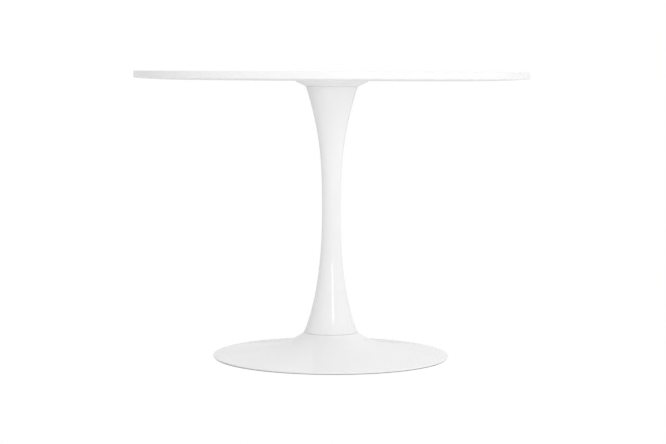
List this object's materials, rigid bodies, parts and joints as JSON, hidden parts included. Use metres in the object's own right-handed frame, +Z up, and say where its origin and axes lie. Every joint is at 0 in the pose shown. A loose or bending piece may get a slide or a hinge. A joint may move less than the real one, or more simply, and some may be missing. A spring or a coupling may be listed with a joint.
{
  "type": "round pedestal table",
  "caption": "Round dining table with a bevelled white board on a trumpet-shaped steel column and a dished foot that stands on screw-in levelling glides.",
  "frame": {"origin": "on the floor, under the column's axis", "axes": "+Z up along the column's axis; +X towards the first levelling foot; +Y completes the right hand"},
  "size_m": [1.0299, 1.03, 0.75],
  "materials": {
    "lacquered_board": "gloss",
    "powder_coat": "gloss",
    "primer_steel": "matte",
    "mill_steel": "satin",
    "zinc_plate": "satin",
    "yellow_zinc": "satin",
    "black_polyethylene": "matte",
    "black_nylon": "satin"
  },
  "bodies": {
    "table_frame": {"tabletop": "lacquered_board", "insert_nuts": "yellow_zinc", "mounting_plate": "mill_steel", "rod_weld_nut": "zinc_plate", "plate_screws": "zinc_plate", "plate_washers": "zinc_plate", "collar": "powder_coat", "stem": "powder_coat", "stem_head_plate": "mill_steel", "stem_foot_plate": "mill_steel", "tie_rod": "zinc_plate", "base_shell": "powder_coat", "base_hub": "primer_steel", "ballast_plate": "primer_steel", "access_cap": "black_polyethylene", "clamp_washer": "zinc_plate", "spring_washer": "zinc_plate", "clamp_nut": "zinc_plate"},
    "glide_1": {"foot_pad_1": "black_nylon"},
    "stud_1": {"foot_stud_1": "zinc_plate"},
    "glide_2": {"foot_pad_2": "black_nylon"},
    "stud_2": {"foot_stud_2": "zinc_plate"},
    "glide_3": {"foot_pad_3": "black_nylon"},
    "stud_3": {"foot_stud_3": "zinc_plate"},
    "glide_4": {"foot_pad_4": "black_nylon"},
    "stud_4": {"foot_stud_4": "zinc_plate"},
    "glide_5": {"foot_pad_5": "black_nylon"},
    "stud_5": {"foot_stud_5": "zinc_plate"},
    "glide_6": {"foot_pad_6": "black_nylon"},
    "stud_6": {"foot_stud_6": "zinc_plate"}
  },
  "joints": [
    {"name": "glide_lower_1", "type": "slide", "parent": "table_frame", "child": "glide_1", "axis": [0, 0, -1], "range_m": [0, 0.005]},
    {"name": "stud_turn_1", "type": "hinge", "parent": "glide_1", "child": "stud_1", "pos_m": [0.225, 0, 0.009], "axis": [0, 0, -1], "range_deg": [0, 1440]},
    {"name": "glide_lower_2", "type": "slide", "parent": "table_frame", "child": "glide_2", "axis": [0, 0, -1], "range_m": [0, 0.005]},
    {"name": "stud_turn_2", "type": "hinge", "parent": "glide_2", "child": "stud_2", "pos_m": [0.1125, 0.19486, 0.009], "axis": [0, 0, -1], "range_deg": [0, 1440]},
    {"name": "glide_lower_3", "type": "slide", "parent": "table_frame", "child": "glide_3", "axis": [0, 0, -1], "range_m": [0, 0.005]},
    {"name": "stud_turn_3", "type": "hinge", "parent": "glide_3", "child": "stud_3", "pos_m": [-0.1125, 0.19486, 0.009], "axis": [0, 0, -1], "range_deg": [0, 1440]},
    {"name": "glide_lower_4", "type": "slide", "parent": "table_frame", "child": "glide_4", "axis": [0, 0, -1], "range_m": [0, 0.005]},
    {"name": "stud_turn_4", "type": "hinge", "parent": "glide_4", "child": "stud_4", "pos_m": [-0.225, 0, 0.009], "axis": [0, 0, -1], "range_deg": [0, 1440]},
    {"name": "glide_lower_5", "type": "slide", "parent": "table_frame", "child": "glide_5", "axis": [0, 0, -1], "range_m": [0, 0.005]},
    {"name": "stud_turn_5", "type": "hinge", "parent": "glide_5", "child": "stud_5", "pos_m": [-0.1125, -0.19486, 0.009], "axis": [0, 0, -1], "range_deg": [0, 1440]},
    {"name": "glide_lower_6", "type": "slide", "parent": "table_frame", "child": "glide_6", "axis": [0, 0, -1], "range_m": [0, 0.005]},
    {"name": "stud_turn_6", "type": "hinge", "parent": "glide_6", "child": "stud_6", "pos_m": [0.1125, -0.19486, 0.009], "axis": [0, 0, -1], "range_deg": [0, 1440]}
  ],
  "couplings": [
    {"joint": "stud_turn_1", "follows": "glide_lower_1", "rad_per_m": 5026.5},
    {"joint": "stud_turn_2", "follows": "glide_lower_2", "rad_per_m": 5026.5},
    {"joint": "stud_turn_3", "follows": "glide_lower_3", "rad_per_m": 5026.5},
    {"joint": "stud_turn_4", "follows": "glide_lower_4", "rad_per_m": 5026.5},
    {"joint": "stud_turn_5", "follows": "glide_lower_5", "rad_per_m": 5026.5},
    {"joint": "stud_turn_6", "follows": "glide_lower_6", "rad_per_m": 5026.5}
  ]
}
